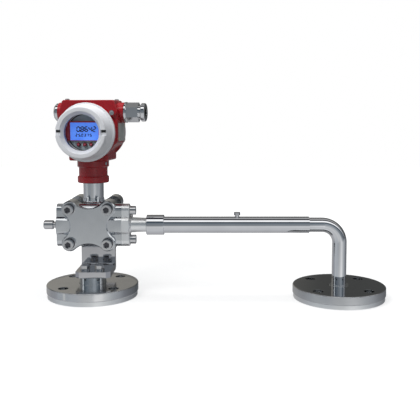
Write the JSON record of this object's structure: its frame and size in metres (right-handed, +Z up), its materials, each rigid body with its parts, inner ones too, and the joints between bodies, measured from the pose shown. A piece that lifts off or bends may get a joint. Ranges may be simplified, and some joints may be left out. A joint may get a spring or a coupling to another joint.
{
  "type": "density meter",
  "caption": "Differential pressure density meter with two flanged diaphragm seals, a steel cell and a round display housing.",
  "frame": {"origin": "centre of the left seal's sealing face", "axes": "+Z up, +X towards the right seal, -Y the front, where the display looks"},
  "size_m": [0.6103, 0.2165, 0.3561],
  "materials": {
    "flange_steel": "polished",
    "seal_steel": "polished",
    "foil": "satin",
    "tube_steel": "satin",
    "cell_steel": "satin",
    "fastener_steel": "satin",
    "bracket_steel": "satin",
    "red_paint": "gloss",
    "white_paint": "satin",
    "window_glass": "clear",
    "rubber": "matt",
    "carrier_plastic": "matt",
    "bezel_plastic": "satin",
    "lcd": "gloss",
    "button_plastic": "satin",
    "board": "satin",
    "terminal_plastic": "satin",
    "terminal_brass": "satin",
    "plate_metal": "brushed",
    "gland_metal": "satin"
  },
  "bodies": {
    "base": {"adapter_gasket": "rubber", "adapter_screws": "fastener_steel", "bracket": "bracket_steel", "cap_nuts": "fastener_steel", "clamp_bolts": "fastener_steel", "clamp_spring_washers": "fastener_steel", "clamp_washers": "fastener_steel", "collar_set_screw": "fastener_steel", "elbow_tube": "tube_steel", "fill_plug": "fastener_steel", "flange_rings": "rubber", "foot_screws": "fastener_steel", "front_clamp_flange": "cell_steel", "head_collar": "red_paint", "left_diaphragm": "foil", "left_flange": "flange_steel", "left_seal_body": "seal_steel", "line_fitting": "fastener_steel", "module_foils": "foil", "oil_capillary": "tube_steel", "oil_line": "tube_steel", "port_plugs": "fastener_steel", "rear_clamp_flange": "cell_steel", "right_diaphragm": "foil", "right_flange": "flange_steel", "right_seal_body": "seal_steel", "sensor_module": "cell_steel", "sensor_neck": "tube_steel", "tab_screws": "fastener_steel", "tube_adapter": "tube_steel", "tube_collar": "tube_steel", "tube_sleeve": "tube_steel", "vent_body": "fastener_steel"},
    "head": {"housing": "red_paint", "front_cover_ring": "rubber", "rear_cover_ring": "rubber", "display_plate": "carrier_plastic", "display_bezel": "bezel_plastic", "display_lcd": "lcd", "electronics_board": "board", "terminal_block": "terminal_plastic", "terminal_screws": "terminal_brass", "name_plate": "plate_metal", "plate_rivets": "plate_metal", "top_screws": "fastener_steel", "lock_screw": "fastener_steel", "earth_screw": "fastener_steel", "gland_body": "gland_metal", "gland_insert": "rubber", "blind_plug": "gland_metal"},
    "front_cover": {"front_cover": "white_paint", "window_glass": "window_glass", "glass_ring": "cell_steel"},
    "rear_cover": {"rear_cover": "white_paint"},
    "button_left": {"button_left": "button_plastic"},
    "button_middle": {"button_middle": "button_plastic"},
    "button_right": {"button_right": "button_plastic"},
    "gland_nut": {"gland_nut": "gland_metal"},
    "vent_screw": {"vent_screw": "fastener_steel"}
  },
  "joints": [
    {"name": "head_turn", "type": "hinge", "parent": "base", "child": "head", "pos_m": [0, 0.02, 0.2396], "axis": [0, 0, 1], "range_deg": [-175, 175]},
    {"name": "front_cover_turn", "type": "hinge", "parent": "head", "child": "front_cover", "pos_m": [0, 0.02, 0.29625], "axis": [-0.1219, -0.9925, 0], "continuous": true},
    {"name": "rear_cover_turn", "type": "hinge", "parent": "head", "child": "rear_cover", "pos_m": [0, 0.02, 0.29625], "axis": [0.1219, 0.9925, 0], "continuous": true},
    {"name": "button_left_press", "type": "slide", "parent": "head", "child": "button_left", "axis": [0.1219, 0.9925, 0], "range_m": [0, 0.001], "stiffness_N_per_m": 300},
    {"name": "button_middle_press", "type": "slide", "parent": "head", "child": "button_middle", "axis": [0.1219, 0.9925, 0], "range_m": [0, 0.001], "stiffness_N_per_m": 300},
    {"name": "button_right_press", "type": "slide", "parent": "head", "child": "button_right", "axis": [0.1219, 0.9925, 0], "range_m": [0, 0.001], "stiffness_N_per_m": 300},
    {"name": "gland_nut_turn", "type": "hinge", "parent": "head", "child": "gland_nut", "pos_m": [0.0929, 0.00859, 0.33155], "axis": [0.9925, -0.1219, 0], "continuous": true},
    {"name": "vent_screw_turn", "type": "hinge", "parent": "base", "child": "vent_screw", "pos_m": [-0.0575, -0.018, 0.1316], "axis": [-1, 0, 0], "range_deg": [0, 360]}
  ]
}
